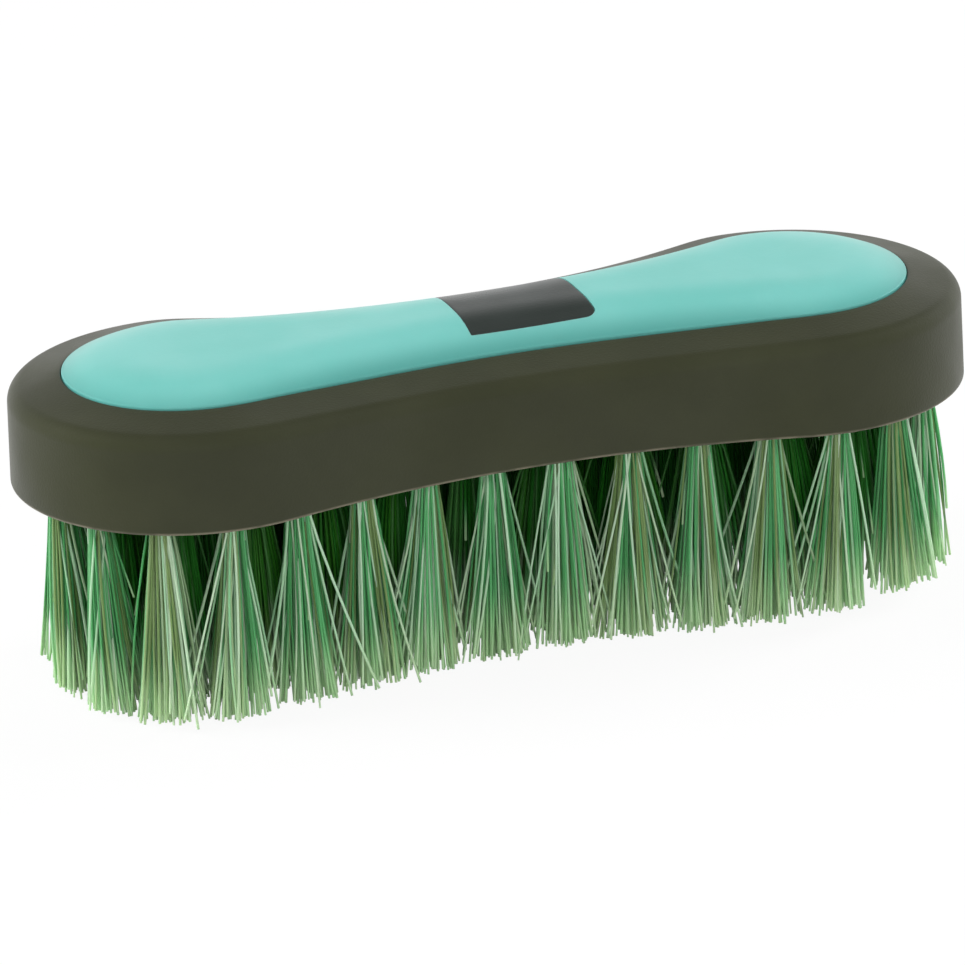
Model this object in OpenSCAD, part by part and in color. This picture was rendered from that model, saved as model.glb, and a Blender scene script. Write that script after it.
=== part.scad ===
// Horse grooming brush with a rubber-skinned waisted body, a crowned grip pad and stapled filament tufts.
// Frame: origin under the middle on the plane of the bristle tips, +X along the brush, +Z up, millimetres.

/* [Body] */
// Length of the body
body_len = 160; // [150:1:180]
// Width across each rounded end
lobe_w = 58.6; // [56:0.2:64]
// Width across the waist
waist_w = 45; // [42:0.5:48]
// Height from the lower edge to the edge of the pad
body_h = 17.6; // [16:0.2:22]
// Dip of the rim at the waist
waist_dip = 1.1; // [0:0.1:1.2]
// Width of the rim around the pad
rim_w = 8.8; // [7.5:0.1:10]
// Slope of the rim in degrees
rim_slope = 12; // [6:0.5:15]
// Radius of the shoulder between wall and rim
shoulder_r = 3; // [2:0.1:4]
// Outward lean of the wall at its lower edge
wall_lean = 0.3; // [0.1:0.05:0.6]
// Bevel of the lower edge
edge_bevel = 0.5; // [0.3:0.1:0.8]
// Thickness of the skin at the wall
skin_t = 2.6; // [2:0.1:3]
// Thickness of the skin under the pad
roof_t = 1.6; // [1.2:0.1:2]

/* [Grip pad] */
// Depth of the pad below its edge
pad_sink = 2.4; // [1.8:0.1:2.8]
// Height of the pad edge above the rim
pad_step = 0.3; // [0.2:0.05:0.5]
// Height of the crown above the rim
pad_crown = 3; // [2.6:0.1:3.6]
// Fullness of the crown, the power of its fall to the edge
crown_power = 2.5; // [2:0.1:3]
// Gap between pad and rim
pad_gap = 0.1; // [0.05:0.05:0.2]
// Half width of the flat ridge at the waist
ridge_half = 1; // [0.5:0.1:2]

/* [Label patch] */
// Length of the blank patch
label_len = 21.5; // [16:0.5:24]
// Width of the blank patch
label_w = 19.6; // [15:0.2:20]
// Position of the patch along the brush
label_x = 4.3; // [-6:0.1:6]
// Radius of the rounded corners of the patch
label_r = 2; // [1:0.1:4]
// Depth of the pocket for the patch below the ridge
label_sink = 2.4; // [2:0.1:3]
// Gap around the patch
label_gap = 0.1; // [0.05:0.05:0.2]

/* [Bristles] */
// Free length of the bristles
bristle_len = 34; // [28:0.5:40]
// Diameter of a tuft hole
hole_d = 4.4; // [4:0.1:4.8]
// Depth of a tuft hole
hole_depth = 9; // [8:0.1:9.5]
// Gap between a tuft and its hole
tuft_gap = 0.1; // [0.05:0.05:0.2]
// Diameter of an outer tuft at its tip
outer_tip_d = 8.6; // [6:0.1:8.8]
// Diameter of an inner tuft at its tip
inner_tip_d = 9.6; // [6:0.1:9.8]
// Radius of a strand as a share of the diameter of its tuft
strand_share = 0.157; // [0.13:0.001:0.165]
// Shortening of the strands at the sides of a tuft
ragged = 0.6; // [0.2:0.1:1.5]
// Shortening of the bristles towards the +X end
end_trim = 2; // [0.5:0.1:3]
// Distance of the outer ring of tufts from the outline
ring_inset = 7; // [6.8:0.1:7.2]
// Distance between the rings of tufts
ring_step = 9.4; // [9.3:0.1:9.6]
// Number of tufts in the outer ring
outer_count = 30; // [24:2:30]
// Number of tufts in the inner ring
inner_count = 22; // [16:2:22]

/* [Tuft anchors] */
// Thickness of the anchor wire
wire_t = 0.4; // [0.3:0.05:0.6]
// Height of an anchor
anchor_h = 2; // [1.5:0.1:2.5]
// Bite of an anchor into the wall of its hole
anchor_bite = 0.6; // [0.4:0.1:0.8]
// Depth of the folded filaments above an anchor
fold_t = 1; // [0.6:0.1:1.2]

/* [Gaps] */
// Gap between skin and block
block_gap = 0.1; // [0.05:0.05:0.2]

/* [Hidden] */
$fn = 96;
lobe_r = lobe_w / 2;
waist_r = waist_w / 2;
lobe_x = body_len / 2 - lobe_r;
arc_r = (lobe_x * lobe_x + waist_r * waist_r - lobe_r * lobe_r) / (2 * (lobe_r - waist_r));
arc_y = waist_r + arc_r;
waist_half = atan2(lobe_x, arc_y);
lobe_half = 90 + waist_half;
z_low = bristle_len;
z_edge = z_low + body_h;
z_floor = z_edge - pad_sink;
z_roof = z_floor - roof_t;
z_crown = z_edge + pad_crown;
bend_in = shoulder_r * (1 - sin(rim_slope));
z_wall = z_edge - tan(rim_slope) * (rim_w - bend_in) - shoulder_r * cos(rim_slope);
pad_in = rim_w + pad_gap;
ridge_in = waist_r - ridge_half;
lobe_steps = 40;
waist_steps = 12;
bend_steps = 6;
crown_steps = 10;
shoulder = [
    for (i = [0:bend_steps])
        let (t = (90 - rim_slope) * i / bend_steps)
        [shoulder_r * (1 - cos(t)), z_wall + shoulder_r * sin(t), 1]];
crown = [
    for (i = [0:crown_steps])
        let (t = i / crown_steps, fall = pow(1 - t, crown_power))
        [pad_in + (ridge_in - pad_in) * t, z_crown - (pad_crown - pad_step) * fall, fall]];
z_pocket = z_crown - label_sink;
label_rounded = [[1, 1], [1, -1]];
stem_d = hole_d - 2 * tuft_gap;
anchor_len = hole_d + 2 * anchor_bite;
z_anchor = z_low + hole_depth - fold_t - anchor_h;
inner_inset = ring_inset + ring_step;
strand_count = 6;
strand_sides = 6;
trim_run = 30;
over = 1;

// Length of half a lobe and of a whole waist arc on the ring at an inset
function half_lobe(d) = (lobe_r - d) * lobe_half * PI / 180;
function waist_run(d) = (arc_r + d) * 2 * waist_half * PI / 180;
function ring_run(d) = 4 * half_lobe(d) + 2 * waist_run(d);
// Point and heading on the first half of a ring, from the +X end round to the -X end
function lobe_spot(d, s) =
    let (t = s / (lobe_r - d) * 180 / PI)
    [lobe_x + (lobe_r - d) * cos(t), (lobe_r - d) * sin(t), t + 90];
function waist_spot(d, s) =
    let (t = waist_half - s / (arc_r + d) * 180 / PI)
    [(arc_r + d) * sin(t), arc_y - (arc_r + d) * cos(t), t];
function turned(p) = [-p[0], -p[1], p[2]];
function mirrored(p) = [-p[0], p[1], -p[2]];
function half_spot(d, s) =
    s <= half_lobe(d) ? lobe_spot(d, s)
    : s < half_lobe(d) + waist_run(d) ? waist_spot(d, s - half_lobe(d))
    : mirrored(lobe_spot(d, 2 * half_lobe(d) + waist_run(d) - s));
function ring_spot(d, s) =
    s <= ring_run(d) / 2 ? half_spot(d, s) : turned(half_spot(d, s - ring_run(d) / 2));
function ring_spots(d, n) = [for (i = [0:n - 1]) ring_spot(d, ring_run(d) * i / n)];

spots = concat(
    ring_spots(ring_inset, outer_count),
    ring_spots(inner_inset, inner_count),
    [for (s = [-1, 1]) [s * lobe_x, 0, 0]]);
function tip_d(i) = i < outer_count ? outer_tip_d : inner_tip_d;

function tuft_name(i) = str("tuft_", i < 9 ? "0" : "", i + 1);

// Outline at an inset, counter-clockwise from the lower end of the +X lobe
function right_lobe(d) = [
    for (i = [0:lobe_steps])
        let (t = lobe_half * (2 * i / lobe_steps - 1))
        [lobe_x + (lobe_r - d) * cos(t), (lobe_r - d) * sin(t)]];
function back_waist(d) = [
    for (i = [1:waist_steps - 1])
        let (t = waist_half * (1 - 2 * i / waist_steps))
        [(arc_r + d) * sin(t), arc_y - (arc_r + d) * cos(t)]];
function outline(d) = let (half = concat(right_lobe(d), back_waist(d))) concat(half, -half);

// Flat end of a skin as strips across the brush, from the +X tip to the -X tip
outline_count = 2 * (lobe_steps + waist_steps);
function across(i) = (lobe_steps - i + outline_count) % outline_count;
function strip(i) = [i, i + 1, across(i + 1), across(i)];
function strips() =
    let (first = lobe_steps / 2, final = first + outline_count / 2 - 1)
    concat(
        [[first, first + 1, across(first + 1)]],
        [for (i = [first + 1:final - 1]) strip(i)],
        [[final, final + 1, across(final)]]);

// Dip of the rim along the brush, none beyond the middle of a lobe
function dip(x) = abs(x) < lobe_x ? waist_dip * pow(1 - pow(x / lobe_x, 4), 2) : 0;

// Skin through a row of outlines, each station an inset, a height and its share of the dip
module loft(stations) {
    n = outline_count;
    last = len(stations) - 1;
    polyhedron(
        points = [for (s = stations) for (p = outline(s[0])) [p[0], p[1], s[1] - s[2] * dip(p[0])]],
        faces = concat(
            strips(),
            [for (k = [0:last - 1]) for (i = [0:n - 1])
                let (a = k * n + i, b = k * n + (i + 1) % n)
                each [[a, a + n, b + n], [a, b + n, b]]],
            [for (f = strips()) [for (i = [len(f) - 1:-1:0]) last * n + f[i]]]));
}

// Rectangle of the patch with its corners at the +X end rounded, grown by a gap
module label_outline(grow) {
    half_x = label_len / 2 + grow;
    half_y = label_w / 2 + grow;
    difference() {
        square([2 * half_x, 2 * half_y], center = true);
        for (side = label_rounded)
            translate([side[0] * half_x, side[1] * half_y])
                difference() {
                    square(2 * label_r, center = true);
                    translate(-label_r * side)
                        circle(r = label_r);
                }
    }
}

module label_prism(grow) {
    translate([label_x, 0, z_pocket])
        linear_extrude(label_sink + over)
            label_outline(grow);
}

module at_spot(i) {
    translate([spots[i][0], spots[i][1], 0])
        rotate(spots[i][2])
            children();
}

module anchor() {
    translate([-anchor_len / 2, -wire_t / 2, z_anchor])
        cube([anchor_len, wire_t, anchor_h]);
}

module casing() {
    color([0.25, 0.26, 0.21])
        loft(concat(
            [[skin_t, z_roof, 0], [skin_t, z_low, 0]],
            [[edge_bevel - wall_lean, z_low, 0], [-wall_lean, z_low + edge_bevel, 0]],
            shoulder,
            [[rim_w, z_edge, 1], [rim_w, z_floor, 0]]));
}

module pad_body() {
    loft(concat([[pad_in, z_floor, 0]], crown));
}

module grip_pad() {
    color([0.53, 0.82, 0.78])
        difference() {
            pad_body();
            label_prism(label_gap);
        }
}

module label_patch() {
    color([0.2, 0.22, 0.21])
        intersection() {
            pad_body();
            label_prism(0);
        }
}

module bristle_block() {
    color([0.2, 0.21, 0.19])
        difference() {
            translate([0, 0, z_low])
                linear_extrude(z_roof - z_low)
                    polygon(outline(skin_t + block_gap));
            for (i = [0:len(spots) - 1])
                at_spot(i) {
                    translate([0, 0, z_low - over])
                        cylinder(d = hole_d, h = hole_depth + over);
                    anchor();
                }
        }
}

module tuft_anchors() {
    color([0.75, 0.76, 0.78])
        for (i = [0:len(spots) - 1])
            at_spot(i)
                anchor();
}

// Height of the tips at a place along the brush
function trim(x) = end_trim * min(1, max(0, (x - lobe_x + trim_run / 2) / trim_run));
function strand_ring(middle, r, z) = [
    for (i = [0:strand_sides - 1])
        let (t = 360 * i / strand_sides)
        [middle[0] + r * cos(t), middle[1] + r * sin(t), z]];

// Strand of filaments from the mouth of its hole to its tip
module strand(root, root_r, tip, tip_r, z_tip) {
    n = strand_sides;
    polyhedron(
        points = concat(strand_ring(tip, tip_r, z_tip), strand_ring(root, root_r, z_low + over)),
        faces = concat(
            [[for (i = [0:n - 1]) i], [for (i = [n - 1:-1:0]) n + i]],
            [for (i = [0:n - 1]) let (j = (i + 1) % n) [i, n + i, n + j, j]]));
}

// Strands of a tuft, one in the middle and the others round it
module strands(i) {
    z_tip = trim(spots[i][0]);
    tip_r = strand_share * tip_d(i);
    root_r = strand_share * stem_d;
    tip_ring = tip_d(i) / 2 - tip_r;
    root_ring = stem_d / 2 - root_r - tuft_gap;
    strand([0, 0], root_r, [0, 0], tip_r, z_tip);
    for (k = [0:strand_count - 1]) {
        way = [cos(360 * k / strand_count), sin(360 * k / strand_count)];
        strand(root_ring * way, root_r, tip_ring * way, tip_r, z_tip + (k % 3 > 0 ? ragged : 0));
    }
}

module tuft(i) {
    color(i % 3 == 2 ? [0.56, 0.55, 0.47] : [0.4, 0.66, 0.47])
        at_spot(i)
            difference() {
                union() {
                    strands(i);
                    translate([0, 0, z_low])
                        cylinder(d = stem_d, h = hole_depth);
                }
                anchor();
            }
}

casing();
grip_pad();
label_patch();
bristle_block();
tuft_anchors();
for (i = [0:len(spots) - 1])
    tuft(i);
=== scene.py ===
"""Horse grooming brush: a rubber-skinned waisted body, a gel grip pad, a blank patch and stapled tufts."""

import logging
import math
import random
from dataclasses import dataclass, field
from enum import Enum
from typing import NamedTuple

import bmesh
import bpy
from mathutils import Matrix, Vector


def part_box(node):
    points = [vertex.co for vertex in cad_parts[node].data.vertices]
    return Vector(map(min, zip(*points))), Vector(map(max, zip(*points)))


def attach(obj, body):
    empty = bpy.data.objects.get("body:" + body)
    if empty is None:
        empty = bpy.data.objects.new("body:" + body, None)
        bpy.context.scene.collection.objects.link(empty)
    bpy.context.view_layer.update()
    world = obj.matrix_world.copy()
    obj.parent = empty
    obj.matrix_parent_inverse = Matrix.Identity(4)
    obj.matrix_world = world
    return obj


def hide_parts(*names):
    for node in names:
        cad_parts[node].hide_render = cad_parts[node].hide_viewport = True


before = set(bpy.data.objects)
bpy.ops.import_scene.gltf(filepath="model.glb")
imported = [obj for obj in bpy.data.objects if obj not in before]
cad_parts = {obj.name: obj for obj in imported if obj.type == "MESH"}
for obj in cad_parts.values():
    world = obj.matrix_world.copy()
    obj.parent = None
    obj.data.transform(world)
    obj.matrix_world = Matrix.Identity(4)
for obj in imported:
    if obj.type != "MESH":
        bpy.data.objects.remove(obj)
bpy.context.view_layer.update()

BAKE_MAP = "OFBake"
BODY = "root"
IMAGE_PX = 965
WAIST_W = 0.045
CREASE = 50.0
POCKET_CREASE = 40.0
log = logging.getLogger("brush")

Color = tuple[float, float, float, float]
Point = tuple[float, float]
Triple = tuple[float, float, float]
Piece = bpy.types.Object
Socket = bpy.types.NodeSocket
Source = Socket | float | tuple[float, ...]
Values = dict[str | int, Source]


class Station(NamedTuple):
    """Ring of a profile: its inset, its height and its share of the dip at the waist."""

    inset: float
    z: float
    dip: float = 0.0


def shade(red: int, green: int, blue: int) -> Color:
    """Colour of a paint chip in linear light, from channels of 0 to 255."""
    channels = (c / 255 for c in (red, green, blue))
    return (*(c / 12.92 if c <= 0.04045 else ((c + 0.055) / 1.055) ** 2.4 for c in channels), 1.0)


class Slot(Enum):
    """Material slots of the pieces made here."""

    SKIN = "skin"
    PAD = "pad"
    LABEL = "label"
    GREEN = "filament_green"
    TAUPE = "filament_taupe"


class Kind(Enum):
    """How a filament stands in its tuft."""

    STRAIGHT = "straight"
    STRAY = "stray"
    STUB = "stub"


@dataclass(frozen=True)
class Outline:
    """Plan of the body: two round lobes joined by hollow waist arcs.

    Attributes:
        lobe_r: Radius of each lobe.
        lobe_x: Distance of a lobe's centre from the middle.
        waist_r: Half width at the waist.
        waist_dip: Dip of the rim at the waist.
        lobe_steps: Steps round a lobe, an even number.
        waist_steps: Steps along a waist arc.
    """

    lobe_r: float
    lobe_x: float
    waist_r: float
    waist_dip: float = 0.0011
    lobe_steps: int = 128
    waist_steps: int = 56

    @property
    def arc_r(self) -> float:
        """Radius of the waist arcs."""
        reach = self.lobe_x**2 + self.waist_r**2 - self.lobe_r**2
        return reach / (2 * (self.lobe_r - self.waist_r))

    @property
    def arc_y(self) -> float:
        """Distance of a waist arc's centre from the long axis."""
        return self.waist_r + self.arc_r

    @property
    def waist_half(self) -> float:
        """Half the angle of a waist arc."""
        return math.atan2(self.lobe_x, self.arc_y)

    @property
    def count(self) -> int:
        """Points in a ring."""
        return 2 * (self.lobe_steps + self.waist_steps)

    def ring(self, inset: float) -> list[Point]:
        """Points of the outline moved inwards.

        Args:
            inset: Distance inside the outline.

        Returns:
            The points, counter-clockwise from the front of the +X lobe.
        """
        lobe_half = math.pi / 2 + self.waist_half
        radius = self.lobe_r - inset
        hollow = self.arc_r + inset
        half: list[Point] = []
        for i in range(self.lobe_steps + 1):
            turn = lobe_half * (2 * i / self.lobe_steps - 1)
            half.append((self.lobe_x + radius * math.cos(turn), radius * math.sin(turn)))
        for i in range(1, self.waist_steps):
            turn = self.waist_half * (1 - 2 * i / self.waist_steps)
            half.append((hollow * math.sin(turn), self.arc_y - hollow * math.cos(turn)))
        return half + [(-x, -y) for x, y in half]

    def dip(self, x: float) -> float:
        """Dip of the rim at a place along the brush, none beyond the middle of a lobe."""
        share = min(1.0, abs(x) / self.lobe_x)
        return self.waist_dip * (1 - share**4) ** 2

    def heading(self, x: float, y: float) -> float:
        """Direction of the ring through a point.

        Args:
            x: Place along the brush.
            y: Place across the brush.

        Returns:
            The angle from the long axis, in radians.
        """
        rise = self.arc_y - abs(y)
        if math.atan2(abs(x), rise) < self.waist_half:
            return math.copysign(math.atan2(x, rise), x * y)
        if math.hypot(abs(x) - self.lobe_x, y) < self.lobe_r / 10:
            return 0.0
        return math.atan2(y, x - math.copysign(self.lobe_x, x)) + math.pi / 2

    def inset_at(self, x: float, y: float) -> float:
        """Distance of a point inside the outline.

        Args:
            x: Place along the brush.
            y: Place across the brush.

        Returns:
            The inset of the ring through the point.
        """
        rise = self.arc_y - abs(y)
        if math.atan2(abs(x), rise) < self.waist_half:
            return math.hypot(x, rise) - self.arc_r
        return self.lobe_r - math.hypot(abs(x) - self.lobe_x, y)

    def cap(self) -> list[list[int]]:
        """Faces across a ring.

        Returns:
            Strips between facing points, from the +X tip to the -X tip.
        """
        first = self.lobe_steps // 2
        final = first + self.count // 2 - 1

        def facing(i: int) -> int:
            """Point of the ring straight across the long axis."""
            return (self.lobe_steps - i) % self.count

        strips = [[first, first + 1, facing(first + 1)]]
        strips += [[i, i + 1, facing(i + 1), facing(i)] for i in range(first + 1, final)]
        strips.append([final, (final + 1) % self.count, facing(final)])
        return strips


def bend(centre: Station, radius: float, start: float, end: float, steps: int) -> list[Station]:
    """Stations round a bend of a profile.

    Args:
        centre: Centre of the bend.
        radius: Radius of the bend.
        start: Angle of the first station in degrees, from the inward side.
        end: Angle of the last station in degrees.
        steps: Steps round the bend.

    Returns:
        The stations, with the dip of the centre.
    """
    turns = [math.radians(start + (end - start) * i / steps) for i in range(steps + 1)]
    return [
        Station(centre.inset + radius * math.cos(t), centre.z + radius * math.sin(t), centre.dip)
        for t in turns
    ]


def straight(start: Station, end: Station, steps: int) -> list[Station]:
    """Stations in even steps between two stations, without the ends."""
    parts = [i / steps for i in range(1, steps)]
    return [Station(*(a + (b - a) * p for a, b in zip(start, end))) for p in parts]


def bands(count: int, rings: int) -> list[list[int]]:
    """Faces between the rings of a skin.

    Args:
        count: Points in a ring.
        rings: Number of rings.

    Returns:
        Faces of four points, ring by ring.
    """
    return [
        [k * count + i, k * count + j, (k + 1) * count + j, (k + 1) * count + i]
        for k in range(rings - 1)
        for i, j in ((i, (i + 1) % count) for i in range(count))
    ]


def mesh_piece(name: str, points: list[Vector], faces: list[list[int]]) -> Piece:
    """New object from points and faces, smooth but for its creases.

    Args:
        name: Name of the object.
        points: Points in metres.
        faces: Lists of point numbers.

    Returns:
        The object, in the scene.
    """
    mesh = bpy.data.meshes.new(name)
    mesh.from_pydata(points, [], faces)
    piece = bpy.data.objects.new(name, mesh)
    bpy.context.scene.collection.objects.link(piece)
    smooth(piece)
    return piece


def smooth(piece: Piece, crease: float = CREASE) -> None:
    """Turns the faces outwards and shades them smooth up to a crease angle.

    Args:
        piece: Mesh object to shade.
        crease: Angle in degrees above which an edge stays sharp.
    """
    work = bmesh.new()
    work.from_mesh(piece.data)
    bmesh.ops.recalc_face_normals(work, faces=work.faces)
    for face in work.faces:
        face.smooth = True
    for edge in work.edges:
        edge.smooth = edge.calc_face_angle(0.0) < math.radians(crease)
    work.to_mesh(piece.data)
    work.free()


def loft(name: str, outline: Outline, stations: list[Station]) -> Piece:
    """Closed skin through rings of an outline.

    Args:
        name: Name of the object.
        outline: Plan that the rings follow.
        stations: Rings of the profile, from the first cap to the last.

    Returns:
        The lofted object.
    """
    points = [
        Vector((x, y, s.z - s.dip * outline.dip(x))) for s in stations for x, y in outline.ring(s.inset)
    ]
    faces = bands(outline.count, len(stations))
    last = (len(stations) - 1) * outline.count
    faces += outline.cap()
    faces += [[last + i for i in face] for face in outline.cap()]
    return mesh_piece(name, points, faces)


def place(piece: Piece, node: str, slot: Slot) -> None:
    """Ties a piece to the body, hides the node that it stands for and logs its slot.

    Args:
        piece: The piece.
        node: Name of the node that it replaces.
        slot: Slot that its finish belongs to, which is logged.
    """
    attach(piece, BODY)
    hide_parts(node)
    log.info("%s: %d faces, %s", piece.name, len(piece.data.polygons), slot.value)


class Board:
    """Node tree with short ways to add and join nodes."""

    def __init__(self, tree: bpy.types.NodeTree) -> None:
        """Takes the tree to work on."""
        self.tree = tree

    def add(self, kind: str, values: Values | None = None, **settings: object) -> bpy.types.Node:
        """Adds a node.

        Args:
            kind: Node type without its ShaderNode prefix.
            values: Outputs or plain values that its inputs get, by name or number.
            settings: Properties of the node.

        Returns:
            The node.
        """
        node = self.tree.nodes.new(kind if kind.startswith("Node") else "ShaderNode" + kind)
        for key, value in settings.items():
            setattr(node, key, value)
        self.feed(node, values or {})
        return node

    def feed(self, node: bpy.types.Node, values: Values) -> None:
        """Gives inputs of a node an output or a plain value each.

        Args:
            node: The node.
            values: Outputs or plain values, by the name or number of the input.
        """
        for key, value in values.items():
            if isinstance(value, Socket):
                self.tree.links.new(value, node.inputs[key])
            else:
                node.inputs[key].default_value = value

    def where(self) -> Socket:
        """Place of the shaded point."""
        return self.add("TexCoord").outputs["Object"]

    def height(self) -> Socket:
        """Height of the shaded point."""
        return self.add("SeparateXYZ", {"Vector": self.where()}).outputs["Z"]

    def noise(self, where: Socket, scale: Source, detail: float) -> Socket:
        """Noise at a place, with so many waves per metre and so many octaves."""
        return self.add("TexNoise", {"Vector": where, "Scale": scale, "Detail": detail}).outputs["Fac"]

    def span(self, value: Socket, low: float, high: float, to_low: Source, to_high: Source) -> Socket:
        """Value mapped smoothly from one span to another, held at the ends."""
        values = {"Value": value, "From Min": low, "From Max": high, "To Min": to_low, "To Max": to_high}
        return self.add("MapRange", values, interpolation_type="SMOOTHSTEP").outputs["Result"]

    def mix(self, share: Socket, first: Source, second: Source) -> Socket:
        """Mix of two colours, which are inputs 6 and 7 and output 2 of the node."""
        return self.add("Mix", {"Factor": share, 6: first, 7: second}, data_type="RGBA").outputs[2]

    def math(self, operation: str, first: Socket, second: Source) -> Socket:
        """Result of a sum on two values."""
        return self.add("Math", {0: first, 1: second}, operation=operation).outputs["Value"]


class Effect:
    """Effect that several materials share, a node group that is built once.

    Attributes:
        NAME: Name of the group.
        INPUTS: Its inputs and their kinds.
        OUTPUTS: Its outputs and their kinds.
    """

    NAME = ""
    INPUTS: dict[str, str] = {}
    OUTPUTS: dict[str, str] = {}

    @classmethod
    def group(cls) -> bpy.types.NodeTree:
        """Finds or builds the group.

        Returns:
            The node group.
        """
        tree = bpy.data.node_groups.get(cls.NAME)
        if tree:
            return tree
        tree = bpy.data.node_groups.new(cls.NAME, "ShaderNodeTree")
        for way, sockets in (("INPUT", cls.INPUTS), ("OUTPUT", cls.OUTPUTS)):
            for name, kind in sockets.items():
                tree.interface.new_socket(name, in_out=way, socket_type="NodeSocket" + kind)
        board = Board(tree)
        given = board.add("NodeGroupInput").outputs
        board.add("NodeGroupOutput", cls.wire(board, given))
        return tree

    @classmethod
    def wire(cls, board: Board, given: bpy.types.NodeOutputs) -> Values:
        """Lays out the nodes of the effect.

        Args:
            board: Node tree of the group.
            given: Values that the group is given.

        Returns:
            The value of each output.
        """
        raise NotImplementedError

    @classmethod
    def use(cls, board: Board, values: tuple[Source, ...]) -> bpy.types.NodeOutputs:
        """Adds the effect to a material, with values for its inputs in their order."""
        return board.add("Group", dict(zip(cls.INPUTS, values)), node_tree=cls.group()).outputs


def start_material(name: str) -> tuple[bpy.types.Material, Board, bpy.types.Node]:
    """Starts a material.

    Args:
        name: Name of the material.

    Returns:
        The material, its node tree and its main shader.
    """
    made = bpy.data.materials.new(name)
    made.use_nodes = True
    return made, Board(made.node_tree), made.node_tree.nodes["Principled BSDF"]


class MouldedSurface(Effect):
    """Moulded surface: cloudy colour, handling smudges and a fine grain."""

    NAME = "moulded surface"
    INPUTS = {
        "Deep Color": "Color",
        "Pale Color": "Color",
        "Cloud Scale": "Float",
        "Smudge Scale": "Float",
        "Grain Scale": "Float",
        "Rough Low": "Float",
        "Rough High": "Float",
    }
    OUTPUTS = {"Color": "Color", "Roughness": "Float", "Height": "Float"}

    @classmethod
    def wire(cls, board: Board, given: bpy.types.NodeOutputs) -> Values:
        """Lays out the clouds, the smudges and the grain.

        Args:
            board: Node tree of the group.
            given: Values that the group is given.

        Returns:
            The value of each output.
        """
        where = board.where()
        cloud, smudge, grain = (
            board.noise(where, given[name + " Scale"], detail)
            for name, detail in (("Cloud", 3.0), ("Smudge", 5.0), ("Grain", 2.0))
        )
        cloudy = board.span(cloud, 0.3, 0.7, 0.0, 1.0)
        return {
            "Color": board.mix(cloudy, given["Deep Color"], given["Pale Color"]),
            "Roughness": board.span(smudge, 0.35, 0.65, given["Rough Low"], given["Rough High"]),
            "Height": grain,
        }


@dataclass(frozen=True)
class MouldedFinish:
    """Moulded rubber or plastic.

    Attributes:
        name: Name of the material.
        deep: Darker colour of the clouding.
        pale: Paler colour of the clouding.
        rough: Lowest and highest roughness.
        shine: Specular level.
        cloud_scale: Clouds per metre.
        smudge_scale: Smudges per metre.
        grain_scale: Grains per metre.
        grain_depth: Height of the grain in metres.
        glow: Share of light that spreads inside the material.
        glow_depth: How far that light spreads in metres.
        glow_reach: Share of that depth that red, green and blue reach.
        sheen: Strength of the soft sheen at grazing angles.
    """

    name: str
    deep: Color
    pale: Color
    rough: Point
    shine: float = 0.5
    cloud_scale: float = 60.0
    smudge_scale: float = 45.0
    grain_scale: float = 2600.0
    grain_depth: float = 0.00004
    glow: float = 0.0
    glow_depth: float = 0.002
    glow_reach: Triple = (0.6, 1.0, 0.9)
    sheen: float = 0.0

    def material(self) -> bpy.types.Material:
        """Builds the material.

        Returns:
            The material.
        """
        made, board, shader = start_material(self.name)
        scales = (self.cloud_scale, self.smudge_scale, self.grain_scale)
        effect = MouldedSurface.use(board, (self.deep, self.pale, *scales, *self.rough))
        bump = board.add("Bump", {"Distance": self.grain_depth, "Height": effect["Height"]})
        board.feed(shader, {
            "Base Color": self.tint(board, effect["Color"]),
            "Roughness": effect["Roughness"],
            "Normal": bump.outputs["Normal"],
            "Specular IOR Level": self.shine,
            "Sheen Weight": self.sheen,
            "Subsurface Weight": self.glow,
            "Subsurface Radius": self.glow_reach,
            "Subsurface Scale": self.glow_depth,
        })
        return made

    def tint(self, board: Board, color: Socket) -> Socket:
        """Leaves the colour as it is."""
        return color


@dataclass(frozen=True)
class SkinFinish(MouldedFinish):
    """Soft-touch rubber with a rubbed line along its lower edge.

    Attributes:
        edge: Colour of the rubbed line.
        edge_z: Height of the lower edge.
        edge_h: Height of the rubbed line.
        edge_share: Strength of the rubbed line.
        patch_scale: Rubbed patches per metre.
    """

    edge: Color = (0.2, 0.2, 0.2, 1.0)
    edge_z: float = 0.0
    edge_h: float = 0.0004
    edge_share: float = 0.8
    patch_scale: float = 220.0

    def tint(self, board: Board, color: Socket) -> Socket:
        """Adds the rubbed line.

        Args:
            board: Node tree of the material.
            color: Colour of the rubber.

        Returns:
            The colour with the line.
        """
        line = board.span(board.height(), self.edge_z, self.edge_z + self.edge_h, self.edge_share, 0.0)
        patchy = board.span(board.noise(board.where(), self.patch_scale, 3.0), 0.35, 0.6, 0.35, 1.0)
        return board.mix(board.math("MULTIPLY", line, patchy), color, self.edge)


@dataclass(frozen=True)
class GelFinish(MouldedFinish):
    """Gel that is darker towards its edge: painted shade of the falling crown, mixed with the gel's own
    deeper colour there.

    Attributes:
        edge: Colour at the edge, painted shade with the gel's deeper colour.
        edge_z: Lowest height of the edge.
        clear_z: Height above which no painted edge shade is mixed in.
    """

    edge: Color = (0.1, 0.4, 0.4, 1.0)
    edge_z: float = 0.0
    clear_z: float = 0.001

    def tint(self, board: Board, color: Socket) -> Socket:
        """Paints shade, with the gel's deeper colour, towards the edge as the crown falls."""
        # painted shade of the falling crown towards the edge, partly the gel's deeper colour
        return board.mix(board.span(board.height(), self.edge_z, self.clear_z, 1.0, 0.0), color, self.edge)


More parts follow.
